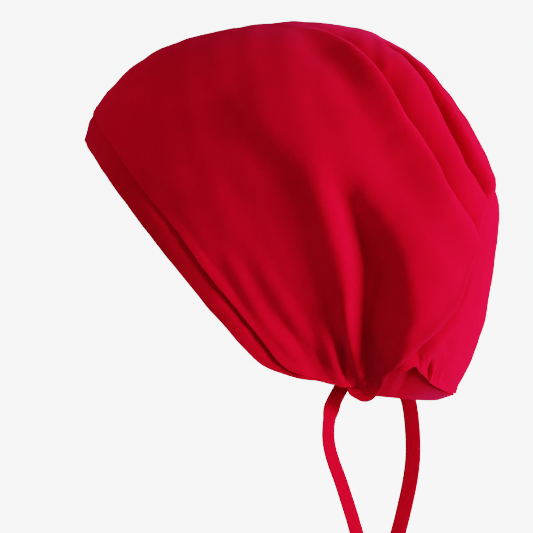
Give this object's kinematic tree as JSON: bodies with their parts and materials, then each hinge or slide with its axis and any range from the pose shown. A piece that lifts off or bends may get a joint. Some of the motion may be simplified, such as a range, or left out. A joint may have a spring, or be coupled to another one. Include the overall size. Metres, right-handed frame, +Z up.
{
  "type": "scrub cap",
  "caption": "Soft cloth scrub cap with a folded front band, a loose pleated crown, a back panel over a nape casing and hanging tape ties.",
  "frame": {"origin": "top of the hollow inside the cap, where the top of the wearer's head rests", "axes": "+Z up, the wearer faces -Y, the wearer's left is +X"},
  "size_m": [0.1764, 0.2332, 0.3022],
  "materials": {
    "red_cotton": "smooth fine cotton with a soft satin sheen",
    "deep_red_cotton": "smooth fine cotton, doubled"
  },
  "bodies": {
    "root": {"crown": "red_cotton", "front_band": "deep_red_cotton", "back_panel": "red_cotton", "back_band": "deep_red_cotton", "tie_left": "deep_red_cotton", "tie_right": "deep_red_cotton"}
  },
  "joints": []
}
